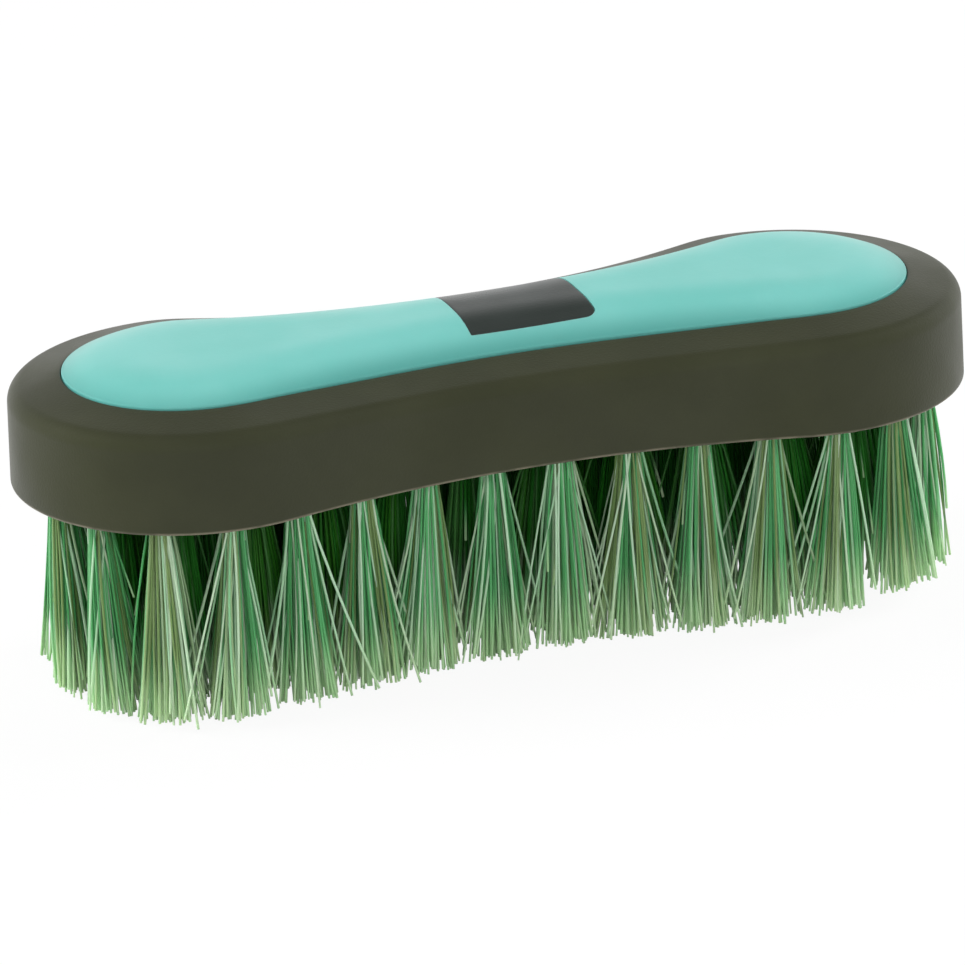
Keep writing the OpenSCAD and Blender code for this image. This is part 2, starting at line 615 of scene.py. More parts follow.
@dataclass(frozen=True)
class WireFinish:
    """Drawn steel wire.

    Attributes:
        name: Name of the material.
        deep: Colour in the draw lines.
        pale: Colour between them.
        line_scale: Draw lines per metre.
        stretch: Share of that scale along each axis.
    """

    name: str
    deep: Color
    pale: Color
    line_scale: float = 9000.0
    stretch: Triple = (0.05, 0.05, 1.0)

    def material(self) -> bpy.types.Material:
        """Builds the material.

        Returns:
            The material.
        """
        made, board, shader = start_material(self.name)
        where = board.add("Mapping", {"Vector": board.where(), "Scale": self.stretch}).outputs["Vector"]
        lines = board.noise(where, self.line_scale, 2.0)
        board.feed(shader, {
            "Base Color": board.mix(board.span(lines, 0.3, 0.7, 0.0, 1.0), self.deep, self.pale),
            "Metallic": 1.0,
            "Roughness": board.span(lines, 0.3, 0.7, 0.25, 0.45),
        })
        return made


class FilamentStreaks(Effect):
    """Filaments: two colours, a tone for each with pale filaments that also paint highlight streaks, tips
    paler from wear and a painted glow of light through them, and painted shade on the roots deep in the
    brush.

    Attributes:
        TRAITS: What each filament says of itself: its tint, tone, place along it and depth.
        DARK: Colour that dark filaments tend to.
        LIGHT: Colour that pale filaments tend to, which also paints highlight streaks along them.
    """

    NAME = "filament streaks"
    INPUTS = {"Green": "Color", "Taupe": "Color", "Tip": "Color", "Painted Root Shade": "Color"}
    OUTPUTS = {"Color": "Color", "Roughness": "Float"}
    TRAITS = ("tint", "tone", "along", "depth")
    DARK = shade(12, 54, 8)
    # colour of pale filaments, which also paints highlight streaks along them
    LIGHT = shade(216, 246, 214)

    @classmethod
    def wire(cls, board: Board, given: bpy.types.NodeOutputs) -> Values:
        """Lays out the colours along a filament.

        Args:
            board: Node tree of the group.
            given: Values that the group is given.

        Returns:
            The value of each output.
        """
        tint, tone, along, depth = (
            board.add("Attribute", attribute_name=name).outputs["Fac"] for name in cls.TRAITS
        )
        dark = board.span(tone, 0.0, 0.5, 0.55, 0.0)
        # pale filaments, partly real pale ones and partly painted highlight streaks
        pale = board.span(tone, 0.5, 1.0, 0.0, 0.78)
        # paler towards the tips: wear, and a painted glow of light through the thin tips
        worn_and_glow = board.span(along, 0.6, 1.0, 0.0, 0.7)
        # painted shade on the roots that stand deep in the brush, strongest at the root
        painted_root_shade = board.math("MULTIPLY", depth, board.span(along, 0.5, 0.95, 0.92, 0.0))
        yarn = board.mix(tint, given["Green"], given["Taupe"])
        layers = (dark, cls.DARK), (pale, cls.LIGHT), (worn_and_glow, given["Tip"]), (painted_root_shade, given["Painted Root Shade"])
        for share, color in layers:
            yarn = board.mix(share, yarn, color)
        return {"Color": yarn, "Roughness": board.span(along, 0.8, 1.0, 0.3, 0.55)}


@dataclass(frozen=True)
class FilamentFinish:
    """Drawn plastic filaments.

    Attributes:
        name: Name of the material.
        green: Colour of the green filaments.
        taupe: Colour of the taupe filaments.
        tip: Colour of the tips, pale from wear and with a painted glow of light through them.
        root: Colour of the painted shade on the roots that stand deep in the brush.
        shine: Specular level.
        glow: Share of light that spreads inside a filament.
        glow_depth: How far that light spreads in metres.
        glow_reach: Share of that depth that red, green and blue reach.
    """

    name: str
    green: Color
    taupe: Color
    tip: Color
    root: Color
    shine: float = 0.14
    glow: float = 0.4
    glow_depth: float = 0.0008
    glow_reach: Triple = (0.8, 1.0, 0.8)

    def material(self) -> bpy.types.Material:
        """Builds the material.

        Returns:
            The material.
        """
        made, board, shader = start_material(self.name)
        effect = FilamentStreaks.use(board, (self.green, self.taupe, self.tip, self.root))
        board.feed(shader, {
            "Base Color": effect["Color"],
            "Roughness": effect["Roughness"],
            "Specular IOR Level": self.shine,
            "Subsurface Weight": self.glow,
            "Subsurface Radius": self.glow_reach,
            "Subsurface Scale": self.glow_depth,
        })
        return made


def coat(piece: Piece, finish: MouldedFinish | WireFinish) -> None:
    """Gives a piece its finish and no other.

    Args:
        piece: The piece.
        finish: The finish.
    """
    piece.data.materials.clear()
    piece.data.materials.append(finish.material())
    log.info("%s: %s", piece.name, finish.name)


@dataclass
class Casing:
    """Soft-touch skin: wall, rounded shoulder, sloped rim and the seat of the pad.

    Attributes:
        outline: Plan of the body.
        z_low: Height of the lower edge.
        z_edge: Height of the rim at the pad.
        z_floor: Height of the seat of the pad.
        z_roof: Height of the underside of the seat.
        rim_w: Width of the rim.
        rim_slope: Slope of the rim in degrees.
        shoulder_r: Radius of the shoulder.
        wall_lean: Outward lean of the wall at its lower edge.
        skin_t: Thickness of the wall.
        edge_r: Rounding of the lower edge.
        lip_r: Rounding of the rim at the pad.
    """

    outline: Outline
    z_low: float
    z_edge: float
    z_floor: float
    z_roof: float
    rim_w: float = 0.0088
    rim_slope: float = 12.0
    shoulder_r: float = 0.003
    wall_lean: float = 0.0003
    skin_t: float = 0.0026
    edge_r: float = 0.0005
    lip_r: float = 0.00025

    def stations(self) -> list[Station]:
        """Profile from the underside of the seat, round the wall, to the seat.

        Returns:
            The rings of the profile.
        """
        slope = math.radians(self.rim_slope)
        top = 90 + self.rim_slope
        bend_in = self.shoulder_r * (1 - math.sin(slope))
        z_wall = self.z_edge - math.tan(slope) * (self.rim_w - bend_in) - self.shoulder_r * math.cos(slope)
        z_bend = self.z_low + self.edge_r
        z_lip = self.z_edge - self.lip_r / math.cos(slope)
        inner = bend(Station(self.skin_t - self.edge_r, z_bend), self.edge_r, 0, -90, 4)
        outer = bend(Station(self.edge_r - self.wall_lean, z_bend), self.edge_r, -90, -180, 6)
        shoulder = bend(Station(self.shoulder_r, z_wall, 1.0), self.shoulder_r, 180, top, 16)
        lip = bend(Station(self.rim_w - self.lip_r, z_lip, 1.0), self.lip_r, top, 0, 5)
        wall = straight(outer[-1], shoulder[0], 10)
        rim = straight(shoulder[-1], lip[0], 8)
        roof, floor = Station(self.skin_t, self.z_roof), Station(self.rim_w, self.z_floor)
        return [roof] + inner + outer + wall + shoulder + rim + lip + [floor]

    def build(self) -> Piece:
        """Builds the skin, ties it to the body and hides its node.

        Returns:
            The skin.
        """
        piece = loft("skin", self.outline, self.stations())
        place(piece, "casing", Slot.SKIN)
        return piece

    def dress(self, piece: Piece) -> None:
        """Gives the skin its rubber.

        Args:
            piece: The skin.
        """
        finish = SkinFinish(
            "soft touch rubber", shade(40, 43, 19), shade(46, 49, 25), (0.42, 0.54),
            shine=0.35, sheen=0.06, edge=shade(126, 120, 100), edge_z=self.z_low + self.edge_r / 2,
        )
        coat(piece, finish)


@dataclass
class GripPad:
    """Crowned gel pad with a pocket for the patch.

    Attributes:
        outline: Plan of the body.
        z_floor: Height of its underside.
        z_edge: Height of the rim around it.
        z_crown: Height of its crown.
        pad_in: Distance of its edge inside the outline.
        ridge_half: Half width of the flat ridge at the waist.
        crown_power: Power of the crown's fall to its edge.
        step: Height of its edge above the rim.
        edge_r: Rounding of its edge.
        clear_fall: Fall from the crown within which the gel gets no painted edge shade.
        crown_steps: Steps from the edge to the ridge.
    """

    outline: Outline
    z_floor: float
    z_edge: float
    z_crown: float
    pad_in: float = 0.0089
    ridge_half: float = 0.001
    crown_power: float = 2.5
    step: float = 0.0003
    edge_r: float = 0.0003
    clear_fall: float = 0.0007
    crown_steps: int = 48

    @property
    def ridge_in(self) -> float:
        """Distance of the ridge inside the outline."""
        return self.outline.waist_r - self.ridge_half

    def crown(self, inset: float) -> Station:
        """Ring of the crown, which dips at its edge and runs level at its ridge.

        Args:
            inset: Distance inside the outline.

        Returns:
            The ring at that inset.
        """
        share = min(1.0, (inset - self.pad_in) / (self.ridge_in - self.pad_in))
        fall = (1 - share) ** self.crown_power
        return Station(inset, self.z_crown - (self.z_crown - self.z_edge - self.step) * fall, fall)

    def stations(self) -> list[Station]:
        """Profile from the underside, over the edge, to the ridge.

        Returns:
            The rings of the profile.
        """
        start = self.pad_in + self.edge_r
        steps = self.crown_steps
        crown = [self.crown(start + (self.ridge_in - start) * i / steps) for i in range(steps + 1)]
        edge = bend(Station(start, crown[0].z - self.edge_r, crown[0].dip), self.edge_r, 180, 110, 5)
        return [Station(self.pad_in, self.z_floor)] + edge + crown

    def build(self, patch: "LabelPatch") -> Piece:
        """Builds the pad, cuts the pocket, ties it to the body and hides its node.

        Args:
            patch: The patch that sits in the pocket.

        Returns:
            The pad.
        """
        piece = loft("grip_pad_gel", self.outline, self.stations())
        cutter = patch.cutter()
        cut = piece.modifiers.new("pocket", "BOOLEAN")
        cut.operation = "DIFFERENCE"
        cut.solver = "EXACT"
        cut.object = cutter
        graph = bpy.context.evaluated_depsgraph_get()
        whole = piece.data
        piece.data = bpy.data.meshes.new_from_object(piece.evaluated_get(graph))
        piece.data.name = piece.name
        piece.modifiers.clear()
        bpy.data.meshes.remove(whole)
        bpy.data.objects.remove(cutter)
        smooth(piece, POCKET_CREASE)
        place(piece, "grip_pad", Slot.PAD)
        return piece

    def dress(self, piece: Piece) -> None:
        """Gives the pad its gel.

        Args:
            piece: The pad.
        """
        finish = GelFinish(
            "grip gel", shade(118, 200, 191), shade(126, 205, 197), (0.29, 0.37),
            shine=0.4, grain_scale=1400.0, grain_depth=0.00002, glow=0.25, glow_depth=0.003,
            # edge colour: painted shade of the falling crown with the gel's deeper colour
            edge=shade(88, 167, 159), edge_z=self.z_edge + self.step - self.outline.dip(0.0),
            clear_z=self.z_crown - self.clear_fall,
        )
        coat(piece, finish)


@dataclass
class LabelPatch:
    """Blank dark patch let into the crown of the pad.

    Attributes:
        low: Lowest corner of its node.
        high: Highest corner of its node.
        pad: Pad that it sits in.
        corner_r: Radius of its corners at the +X end.
        sharp_r: Radius of its corners at the -X end.
        gap: Gap around it.
        edge_r: Rounding of its edge.
        cut_over: Height of the pocket's cutter above it.
        corner_steps: Steps round a corner.
        side_steps: Steps along a side.
        rows: Rings across half its top.
    """

    low: Vector
    high: Vector
    pad: GripPad
    corner_r: float = 0.002
    sharp_r: float = 0.0002
    gap: float = 0.0001
    edge_r: float = 0.0002
    cut_over: float = 0.001
    corner_steps: int = 8
    side_steps: int = 24
    rows: int = 20

    def ring(self, inset: float) -> list[Point]:
        """Points of the patch's outline moved inwards.

        Args:
            inset: Distance inside the outline, negative outside it.

        Returns:
            The points, counter-clockwise.
        """
        middle = (self.low + self.high) / 2
        half_x = (self.high.x - self.low.x) / 2 - inset
        half_y = (self.high.y - self.low.y) / 2 - inset
        rounded: list[list[Point]] = []
        for corner, (side_x, side_y) in enumerate(((1, 1), (-1, 1), (-1, -1), (1, -1))):
            full = self.corner_r if side_x > 0 else self.sharp_r
            radius = min(max(full - inset, full / 4), half_x, half_y)
            cx = middle.x + side_x * (half_x - radius)
            cy = middle.y + side_y * (half_y - radius)
            turns = [math.pi / 2 * (corner + i / self.corner_steps) for i in range(self.corner_steps + 1)]
            rounded.append([(cx + radius * math.cos(t), cy + radius * math.sin(t)) for t in turns])
        points: list[Point] = []
        for corner, bend_points in enumerate(rounded):
            points += bend_points
            (x, y), (next_x, next_y) = bend_points[-1], rounded[(corner + 1) % 4][0]
            for i in range(1, self.side_steps):
                share = i / self.side_steps
                points.append((x + (next_x - x) * share, y + (next_y - y) * share))
        return points

    def top(self, x: float, y: float) -> float:
        """Height of the pad's crown over a point."""
        ring = self.pad.crown(self.pad.outline.inset_at(x, y))
        return ring.z - ring.dip * self.pad.outline.dip(x)

    def cutter(self) -> Piece:
        """Builds the prism that cuts the pocket.

        Returns:
            The prism, still in the scene.
        """
        ring = self.ring(-self.gap)
        n = len(ring)
        points = [Vector((x, y, z)) for z in (self.low.z, self.high.z + self.cut_over) for x, y in ring]
        faces = bands(n, 2) + [list(range(n)), list(range(n, 2 * n))]
        return mesh_piece("pocket_cutter", points, faces)

    def build(self) -> Piece:
        """Builds the patch, ties it to the body and hides its node.

        Returns:
            The patch.
        """
        half = (self.high.y - self.low.y) / 2
        rings = [[Vector((x, y, self.low.z)) for x, y in self.ring(0.0)]]
        for edge in bend(Station(self.edge_r, -self.edge_r), self.edge_r, 180, 90, 5):
            rings.append([Vector((x, y, self.top(x, y) + edge.z)) for x, y in self.ring(edge.inset)])
        for i in range(1, self.rows):
            inset = self.edge_r + (half - self.edge_r) * i / self.rows
            rings.append([Vector((x, y, self.top(x, y))) for x, y in self.ring(inset)])
        n = len(rings[0])
        points = [p for ring in rings for p in ring]
        faces = bands(n, len(rings)) + [list(range(n)), list(range(len(points) - n, len(points)))]
        piece = mesh_piece("blank_patch", points, faces)
        place(piece, "label_patch", Slot.LABEL)
        return piece

    def dress(self, piece: Piece) -> None:
        """Gives the patch its satin dark rubber.

        Args:
            piece: The patch.
        """
        finish = MouldedFinish(
            "satin patch", shade(38, 45, 42), shade(46, 53, 50), (0.26, 0.34),
            shine=0.35, grain_scale=1800.0, grain_depth=0.00002,
        )
        coat(piece, finish)


@dataclass
class Core:
    """Drilled block and wire anchors, which keep the shapes of their nodes."""

    def dress(self) -> None:
        """Gives the block and the anchors their finishes."""
        block = MouldedFinish(
            "moulded block", shade(34, 40, 33), shade(44, 50, 42), (0.5, 0.65),
            shine=0.35, grain_scale=1200.0, grain_depth=0.00006,
        )
        wire = WireFinish("drawn wire", shade(150, 150, 152), shade(196, 196, 198))
        for node, finish in (("bristle_block", block), ("tuft_anchors", wire)):
            coat(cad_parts[node], finish)


@dataclass
class Filament:
    """One filament.

    Attributes:
        path: Points from the root in the hole to the tip.
        radius: Half its thickness.
        tint: 0 for green, 1 for taupe.
        tone: 0 for dark to 1 for pale.
        depth: 0 at the outside of the brush to 1 deep inside it, which sets the painted shade on its root.
    """

    path: list[Vector]
    radius: float
    tint: float
    tone: float
    depth: float


class Lock(NamedTuple):
    """Lock of filaments in a tuft: its tone and its share of taupe filaments."""

    tone: float
    taupe: float


@dataclass
class Tuft:
    """Tuft of filaments, set in one hole and fanned out in locks to its tips.

    Attributes:
        node: Name of its node.
        slot: Slot that gives its leading colour.
        outline: Plan of the body.
        z_low: Height of the mouth of the hole.
        seed: Seed of its random draws.
        count: Number of filaments.
        tip_r: Radius of the tuft at its tips.
        mouth_r: Radius of the tuft at the mouth.
        filament_r: Radius of the thinnest and of the thickest filament.
        lock_count: Locks round the middle one.
        lock_out: Share of the tuft's radius that the locks stand out by.
        lock_tone: Darkest and palest tone of a lock.
        taupe_locks: Share of locks that lead with taupe in a green tuft and in a taupe one.
        taupe_share: Share of taupe filaments in a green lock and in a taupe one.
        skirt: Distance from the outline within which roots get no painted shade, and the run over which
            that painted shade comes to full depth.
        lock_step: Shortening of the locks at the sides.
        ragged: Spread of the tips in height.
        opening: Power of the fan along the free length, below 1 where it opens at the roots.
        end_in: Distance inside the ends of the body that tips keep to.
        end_hold: Share of the way past that distance that tips are held back.
        sway: Spread and limit of the lean of a tuft along its row.
        fan: Least and greatest share of the tip radius that a tuft fans out to.
        shake: Spread of a tip in plan.
        bow: Spread of a filament's bow.
        root_share: Share of the mouth's radius that the roots fill.
        root_in: Distance of the roots from the end of the hole.
        strays: Share of filaments that stray from their lock.
        stray_shift: Least and greatest shift of a stray's tip.
        stray_flat: Share of that shift that goes across the brush.
        stray_lift: Greatest shortening of a stray.
        stubs: Share of filaments that are broken off short.
        stub_lift: Least and greatest shortening of a stub.
        tone_spread: Spread of the tones in a lock.
        pale: Share of filaments that are pale, which also paint highlight streaks.
        pale_tone: Tones of pale filaments and of strays, which also paint highlight streaks.
        sides: Sides of a filament.
        free_steps: Steps along the free length.
        low: Lowest corner of its node.
        high: Highest corner of its node.
    """

    node: str
    slot: Slot
    outline: Outline
    z_low: float
    seed: int
    count: int = 126
    tip_r: float = 0.0055
    mouth_r: float = 0.0021
    filament_r: Point = (0.00015, 0.00024)
    lock_count: int = 6
    lock_out: float = 0.6
    lock_tone: Point = (0.15, 0.75)
    taupe_locks: Point = (0.25, 0.5)
    taupe_share: Point = (0.12, 0.8)
    skirt: Point = (0.0052, 0.006)
    lock_step: float = 0.001
    ragged: float = 0.00045
    opening: float = 1.1
    end_in: float = 0.0046
    end_hold: float = 0.7
    sway: Point = (0.0011, 0.0022)
    fan: Point = (0.88, 1.14)
    shake: float = 0.0004
    bow: float = 0.00035
    root_share: float = 0.7
    root_in: float = 0.0005
    strays: float = 0.11
    stray_shift: Point = (0.002, 0.0085)
    stray_flat: float = 0.6
    stray_lift: float = 0.0025
    stubs: float = 0.015
    stub_lift: Point = (0.008, 0.02)
    tone_spread: float = 0.11
    pale: float = 0.12
    pale_tone: Point = (0.75, 1.0)
    sides: int = 6
    free_steps: int = 5
    low: Vector = field(init=False)
    high: Vector = field(init=False)

    def __post_init__(self) -> None:
        """Reads the place of the tuft from the box of its node."""
        self.low, self.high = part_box(self.node)

    @property
    def spot(self) -> Vector:
        """Middle of the tuft in plan."""
        return Vector(((self.low.x + self.high.x) / 2, (self.low.y + self.high.y) / 2, 0.0))

    def kind(self, draw: random.Random) -> Kind:
        """Draws how a filament stands.

        Args:
            draw: Random draws of the tuft.

        Returns:
            The kind of filament.
        """
        chance = draw.random()
        if chance < self.strays:
            return Kind.STRAY
        return Kind.STUB if chance < self.strays + self.stubs else Kind.STRAIGHT

    def depth(self, x: float, y: float) -> float:
        """How deep in the brush a root stands, from 0 at the outside to 1 deep inside, which sets its
        painted shade.
        """
        lit, run = self.skirt
        return min(1.0, max(0.0, (self.outline.inset_at(x, y) - lit) / run))

    def filament(
        self, number: int, draw: random.Random, locks: list[Lock], lean: Vector, fan: float
    ) -> Filament:
        """Draws one filament.

        Args:
            number: Number of the filament in its tuft.
            draw: Random draws of the tuft.
            locks: The locks of the tuft, the middle one last.
            lean: Shift of the tuft's tips.
            fan: Share of the tip radius that the tuft fans out to.

        Returns:
            The filament.
        """
        lock = number % (self.lock_count + 1)
        turn = self.outline.heading(self.spot.x, self.spot.y) + 2 * math.pi * lock / self.lock_count
        out = self.lock_out if lock < self.lock_count else 0.0
        disc = Vector((math.cos(turn), math.sin(turn), 0)) * out
        spin = draw.uniform(0, 2 * math.pi)
        around = Vector((math.cos(spin), math.sin(spin), 0)) * (1 - self.lock_out)
        disc += around * math.sqrt(draw.random())
        mouth = self.spot + disc * (self.mouth_r - self.filament_r[1])
        tip = self.spot + lean + disc * self.tip_r * fan
        tip += Vector((draw.gauss(0, 1), draw.gauss(0, 1), 0)) * self.shake
        limit = self.outline.lobe_x + self.outline.lobe_r - self.end_in
        over = max(0.0, abs(tip.x) - limit)
        tip.x -= math.copysign(over * self.end_hold, tip.x)
        z_tip = self.low.z + abs(draw.gauss(0, self.ragged))
        if lock < self.lock_count and lock % 3:
            z_tip += self.lock_step
        kind = self.kind(draw)
        if kind is Kind.STRAY:
            away = draw.uniform(0, 2 * math.pi)
            shift = Vector((math.cos(away), math.sin(away) * self.stray_flat, 0))
            shift *= draw.uniform(*self.stray_shift)
            if abs(tip.x + shift.x) > limit:
                shift.x = -shift.x
            tip += shift
            z_tip += draw.uniform(0, self.stray_lift)
        if kind is Kind.STUB:
            z_tip += draw.uniform(*self.stub_lift)
        bow = Vector((draw.gauss(0, 1), draw.gauss(0, 1), 0)) * self.bow
        root = self.spot + disc * self.mouth_r * self.root_share
        path = [root + Vector((0, 0, self.high.z - self.root_in))]
        for i in range(self.free_steps + 1):
            along = i / self.free_steps
            flat = mouth.lerp(tip, along**self.opening) + bow * 4 * along * (1 - along)
            path.append(flat + Vector((0, 0, self.z_low + (z_tip - self.z_low) * along)))
        tint = 1.0 if draw.random() < locks[lock].taupe else 0.0
        tone = min(1.0, max(0.0, draw.gauss(locks[lock].tone, self.tone_spread)))
        if kind is Kind.STRAY or draw.random() < self.pale:
            tone = draw.uniform(*self.pale_tone)
        return Filament(path, draw.uniform(*self.filament_r), tint, tone, self.depth(mouth.x, mouth.y))

    def build(self) -> Piece:
        """Builds the tuft as one mesh, ties it to the body and hides its node.

        Returns:
            The tuft.
        """
        draw = random.Random(self.seed)
        share = self.taupe_locks[self.slot is Slot.TAUPE]
        locks = [
            Lock(draw.uniform(*self.lock_tone), self.taupe_share[draw.random() < share])
            for _ in range(self.lock_count + 1)
        ]
        spread, limit = self.sway
        turn = self.outline.heading(self.spot.x, self.spot.y)
        along_row = Vector((math.cos(turn), math.sin(turn), 0))
        lean = along_row * min(limit, max(-limit, draw.gauss(0, spread)))
        fan = draw.uniform(*self.fan)
        filaments = [self.filament(i, draw, locks, lean, fan) for i in range(self.count)]
        piece = self.mesh(filaments)
        place(piece, self.node, self.slot)
        return piece

    def strip(self) -> list[Point]:
        """Places of a filament in its strip of the bake map: its sides, then a round spot for each end.

        Returns:
            A place for each corner of its faces, in a strip of height 1.
        """
        left, run, foot, height = 0.02, 0.9, 0.1, 0.8
        end_spots, end_run, end_height = ((0.01, 0.5), (0.96, 0.5)), 0.008, 0.35
        n, steps = self.sides, self.free_steps + 1
        corners = [
            (k + step, side)
            for k in range(steps)
            for i in range(n)
            for step, side in ((0, i), (0, i + 1), (1, i + 1), (1, i))
        ]
        turns = [2 * math.pi * i / n for i in range(n)]
        sides = [(left + run * step / steps, foot + height * side / n) for step, side in corners]
        ends = [
            (u + end_run * math.cos(t), v + end_height * math.sin(t)) for u, v in end_spots for t in turns
        ]
        return sides + ends

    def mesh(self, filaments: list[Filament]) -> Piece:
        """Makes round filaments with a strip of the bake map each.

        Args:
            filaments: The filaments.

        Returns:
            The mesh object.
        """
        n = self.sides
        rings = self.free_steps + 2
        ends = [list(range(n)), list(range((rings - 1) * n, rings * n))]
        skin = bands(n, rings) + ends
        strip = self.strip()
        points: list[Vector] = []
        faces: list[list[int]] = []
        places: list[Point] = []
        values: dict[str, list[float]] = {name: [] for name in FilamentStreaks.TRAITS}
        for number, filament in enumerate(filaments):
            faces += [[len(points) + i for i in face] for face in skin]
            places += [(u, (number + v) / len(filaments)) for u, v in strip]
            for k, centre in enumerate(filament.path):
                before = filament.path[max(k - 1, 0)]
                after = filament.path[min(k + 1, rings - 1)]
                heading = (after - before).normalized()
                aside = Vector((0, 1, 0)).cross(heading).normalized()
                across = heading.cross(aside)
                for i in range(n):
                    turn = 2 * math.pi * i / n
                    way = aside * math.cos(turn) + across * math.sin(turn)
                    points.append(centre + way * filament.radius)
                along = max(0.0, (k - 1) / self.free_steps)
                traits = (filament.tint, filament.tone, along, filament.depth)
                for name, trait in zip(FilamentStreaks.TRAITS, traits):
                    values[name] += [trait] * n
        mesh = bpy.data.meshes.new(self.node + "_filaments")
        mesh.from_pydata(points, [], faces)
        uv = mesh.uv_layers.new(name=BAKE_MAP)
        uv.data.foreach_set("uv", [c for place_at in places for c in place_at])
        for name, numbers in values.items():
            mesh.attributes.new(name, "FLOAT", "POINT").data.foreach_set("value", numbers)
        piece = bpy.data.objects.new("filaments_" + self.node, mesh)
        bpy.context.scene.collection.objects.link(piece)
        smooth(piece)
        return piece


@dataclass
class Bristles:
    """All tufts of the brush.

    Attributes:
        outline: Plan of the body.
        z_low: Height of the mouths of the holes.
        outer_in: Distance inside the outline that only the outer tufts are within.
        inner_tip_r: Radius of an inner tuft at its tips.
        inner_count: Filaments in an inner tuft.
        inner_opening: Power of the fan of an inner tuft.
        taupe_step: One tuft in this many leads with taupe.
        first_seed: Seed of the first tuft.
    """

    outline: Outline
    z_low: float
    outer_in: float = 0.01
    inner_tip_r: float = 0.0074
    inner_count: int = 140
    inner_opening: float = 0.7
    taupe_step: int = 3
    first_seed: int = 4100

    def slot(self, number: int) -> Slot:
        """Slot of a tuft by its number, which says the colour that leads."""
        return Slot.TAUPE if number % self.taupe_step == self.taupe_step - 1 else Slot.GREEN

    def build(self) -> list[Piece]:
        """Builds every tuft.

        Returns:
            The tufts, in the order of their nodes.
        """
        names = sorted(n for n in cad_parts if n.startswith("tuft_") and n[5:].isdigit())
        made = []
        for i, node in enumerate(names):
            tuft = Tuft(node, self.slot(i), self.outline, self.z_low, self.first_seed + i)
            if self.outline.inset_at(tuft.spot.x, tuft.spot.y) > self.outer_in:
                tuft.tip_r = self.inner_tip_r
                tuft.count = self.inner_count
                tuft.opening = self.inner_opening
            made.append(tuft.build())
        return made

    def dress(self, tufts: list[Piece]) -> None:
        """Gives the tufts their filaments' finish.

        Args:
            tufts: The tufts, in the order of their nodes.
        """
        # green, taupe, the tips' colour with a painted glow of light through them, and the painted shade
        # of deep roots
        chips = shade(98, 180, 116), shade(130, 156, 101), shade(200, 234, 180), shade(26, 98, 14)
        names = {Slot.GREEN: "green led filaments", Slot.TAUPE: "taupe led filaments"}
        yarns = {slot: FilamentFinish(name, *chips).material() for slot, name in names.items()}
        for i, piece in enumerate(tufts):
            piece.data.materials.append(yarns[self.slot(i)])


@dataclass
class Softbox:
    """Square studio lamp.

    Attributes:
        name: Name of the lamp.
        place: Where it hangs.
        size: Side of its face.
        power: Power in watts.
        gloss: Whether gloss shows it.
    """

    name: str
    place: Triple
    size: float
    power: float
    gloss: bool = True

    def build(self, aim: Vector) -> None:
        """Hangs the lamp.

        Args:
            aim: Point that it faces.
        """
        lamp = bpy.data.lights.new(self.name, "AREA")
        lamp.shape = "SQUARE"
        lamp.size = self.size
        lamp.energy = self.power
        hung = bpy.data.objects.new(self.name, lamp)
        hung.location = self.place
        hung.visible_glossy = self.gloss
        hung.rotation_euler = (aim - Vector(self.place)).to_track_quat("-Z", "Y").to_euler()
        bpy.context.scene.collection.objects.link(hung)


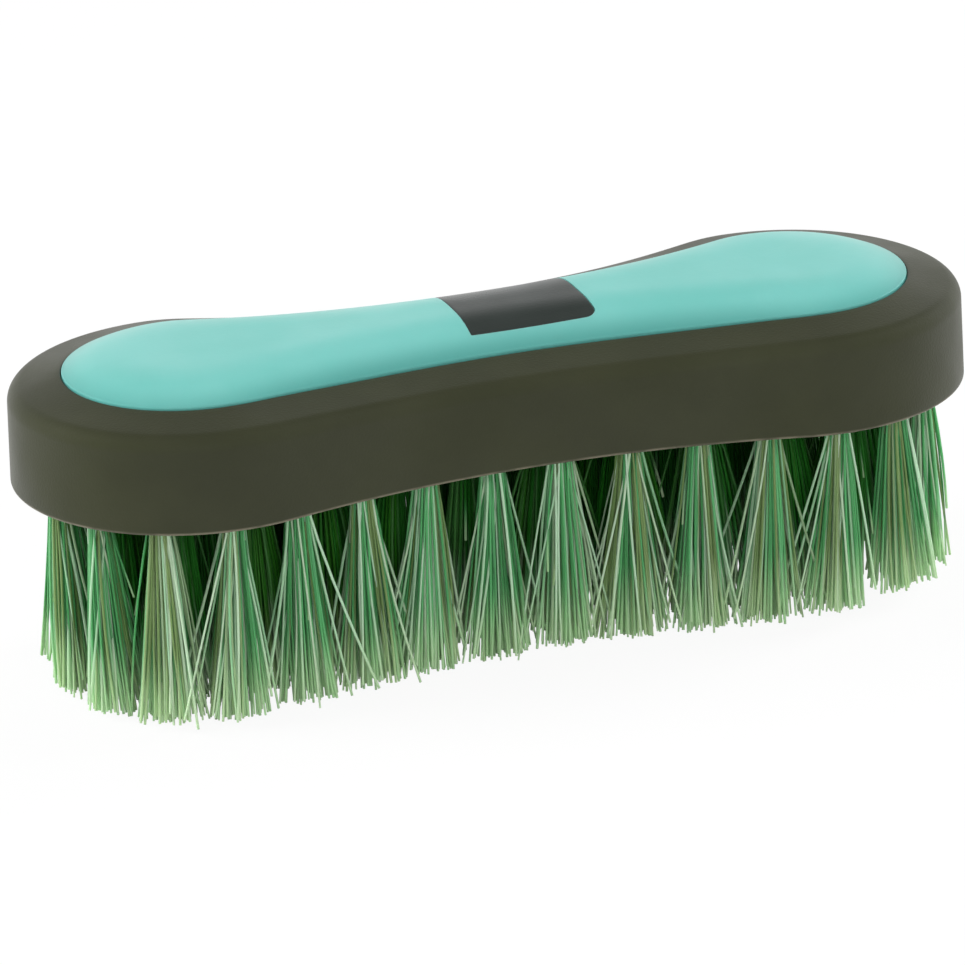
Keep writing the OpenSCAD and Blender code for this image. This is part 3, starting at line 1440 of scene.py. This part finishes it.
@dataclass
class Studio:
    """Pale floor, softboxes, white surround and the camera.

    Attributes:
        floor_half: Half width of the floor.
        floor_drop: Gap between the floor and the tips.
        floor_white: Share of plain white that the camera sees on the floor.
        floor_glow: Strength of that white, which the share brings to just under 1.
        fill: Strength of the surround on the object.
        ceiling: Strength of the dim ceiling that gloss shows.
        ceiling_way: Direction of the middle of that ceiling.
        ceiling_span: Nearness to that direction where the ceiling begins and where it is full.
        yaw: Turn of the camera in degrees.
        rise: Height of the camera above the horizon in degrees.
        roll: Roll of the camera in degrees.
        distance: Distance of the camera from its aim.
        focal_px: Focal length in pixels of the image.
        aim: Point in the middle of the image.
        sensor_mm: Width of the sensor.
        view_end: Distance at which the camera stops seeing.
        lamps: The softboxes.
    """

    floor_half: float = 3.0
    floor_drop: float = 0.0002
    floor_white: float = 0.9
    floor_glow: float = 1.03
    fill: float = 0.2
    ceiling: float = 0.1
    ceiling_way: Triple = (0.16, 0.47, 0.87)
    ceiling_span: Point = (0.72, 0.95)
    yaw: float = -18.2
    rise: float = 21.1
    roll: float = -2.37
    distance: float = 1.0
    focal_px: float = 6130.0
    aim: Triple = (-0.00242, 0.0, 0.02373)
    sensor_mm: float = 36.0
    view_end: float = 20.0
    lamps: tuple[Softbox, ...] = (
        Softbox("front", (-0.15, -1.0, 0.42), 0.6, 5.2, gloss=False),
        Softbox("left", (-0.87, 0.26, 0.5), 0.5, 9.0, gloss=False),
        Softbox("right", (0.92, 0.14, 0.45), 0.5, 8.4, gloss=False),
        Softbox("top", (0.0, 0.3, 1.0), 0.8, 0.8),
    )

    def build(self) -> None:
        """Builds the floor, the surround, the lamps and the camera."""
        self.floor()
        self.surround()
        for lamp in self.lamps:
            lamp.build(Vector(self.aim))
        self.camera()
        bpy.context.scene.view_settings.view_transform = "Standard"

    def seen(self, board: Board) -> Socket:
        """Share of rays that look at the surround: from the camera, gloss or glass.

        Args:
            board: Node tree to add to.

        Returns:
            One for such a ray, else zero.
        """
        path = board.add("LightPath").outputs
        near = board.math("MAXIMUM", path["Is Camera Ray"], path["Is Glossy Ray"])
        return board.math("MAXIMUM", near, path["Is Transmission Ray"])

    def floor(self) -> None:
        """Builds the floor, which keeps a soft shadow."""
        mesh = bpy.data.meshes.new("floor")
        reach = self.floor_half
        corners = [(-reach, -reach), (reach, -reach), (reach, reach), (-reach, reach)]
        mesh.from_pydata([(x, y, -self.floor_drop) for x, y in corners], [], [[0, 1, 2, 3]])
        floor = bpy.data.objects.new("floor", mesh)
        bpy.context.scene.collection.objects.link(floor)
        made, board, shader = start_material("pale floor")
        board.feed(shader, {"Base Color": shade(225, 225, 225), "Roughness": 0.9})
        white = board.add("Emission", {"Strength": self.floor_glow})
        share = board.math("MULTIPLY", self.seen(board), self.floor_white)
        mix = board.add("MixShader", {0: share, 1: shader.outputs[0], 2: white.outputs[0]})
        board.feed(made.node_tree.nodes["Material Output"], {"Surface": mix.outputs[0]})
        mesh.materials.append(made)

    def surround(self) -> None:
        """Sets a white surround that lights the object less than it shows."""
        world = bpy.data.worlds.new("surround")
        world.use_nodes = True
        bpy.context.scene.world = world
        board = Board(world.node_tree)
        way = board.add("TexCoord").outputs["Generated"]
        near = board.add("VectorMath", {0: way, 1: self.ceiling_way}, operation="DOT_PRODUCT")
        nearness = near.outputs["Value"]
        show = board.span(nearness, *self.ceiling_span, 1.0 - self.fill, self.ceiling - self.fill)
        strength = board.math("ADD", board.math("MULTIPLY", self.seen(board), show), self.fill)
        back = world.node_tree.nodes["Background"]
        board.feed(back, {"Color": (1.0, 1.0, 1.0, 1.0), "Strength": strength})

    def camera(self) -> None:
        """Sets the camera at the photograph's viewing angle."""
        yaw, rise, roll = (math.radians(a) for a in (self.yaw, self.rise, self.roll))
        back = Vector((math.sin(yaw) * math.cos(rise), -math.cos(yaw) * math.cos(rise), math.sin(rise)))
        right = Vector((0, 0, 1)).cross(back).normalized()
        up = back.cross(right)
        rolled_right = right * math.cos(roll) + up * math.sin(roll)
        rolled_up = up * math.cos(roll) - right * math.sin(roll)
        data = bpy.data.cameras.new("camera")
        data.sensor_width = self.sensor_mm
        data.lens = self.focal_px / IMAGE_PX * self.sensor_mm
        data.clip_end = self.view_end
        camera = bpy.data.objects.new("camera", data)
        turn = Matrix((rolled_right, rolled_up, back)).transposed()
        camera.matrix_world = Matrix.Translation(Vector(self.aim) + back * self.distance) @ turn.to_4x4()
        bpy.context.scene.collection.objects.link(camera)
        bpy.context.scene.camera = camera


def body_outline(wall_lean: float, waist_w: float) -> Outline:
    """Plan of the body, from the box of its skin.

    Args:
        wall_lean: Outward lean of the wall at its lower edge.
        waist_w: Width across the waist.

    Returns:
        The outline.
    """
    low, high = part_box("casing")
    lobe_r = (high.y - low.y) / 2 - wall_lean
    return Outline(lobe_r, (high.x - low.x) / 2 - wall_lean - lobe_r, waist_w / 2)


def main() -> None:
    """Builds the brush and its studio."""
    logging.basicConfig(level=logging.INFO, format="%(name)s: %(message)s")
    Studio().build()
    outline = body_outline(Casing.wall_lean, WAIST_W)
    z_low, z_edge = (corner.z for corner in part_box("casing"))
    z_floor, z_crown = (corner.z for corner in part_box("grip_pad"))
    casing = Casing(outline, z_low, z_edge, z_floor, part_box("bristle_block")[1].z)
    casing.dress(casing.build())
    pad = GripPad(outline, z_floor, z_edge, z_crown)
    patch = LabelPatch(*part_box("label_patch"), pad)
    pad.dress(pad.build(patch))
    patch.dress(patch.build())
    Core().dress()
    bristles = Bristles(outline, z_low)
    bristles.dress(bristles.build())


if __name__ == "__main__":
    main()
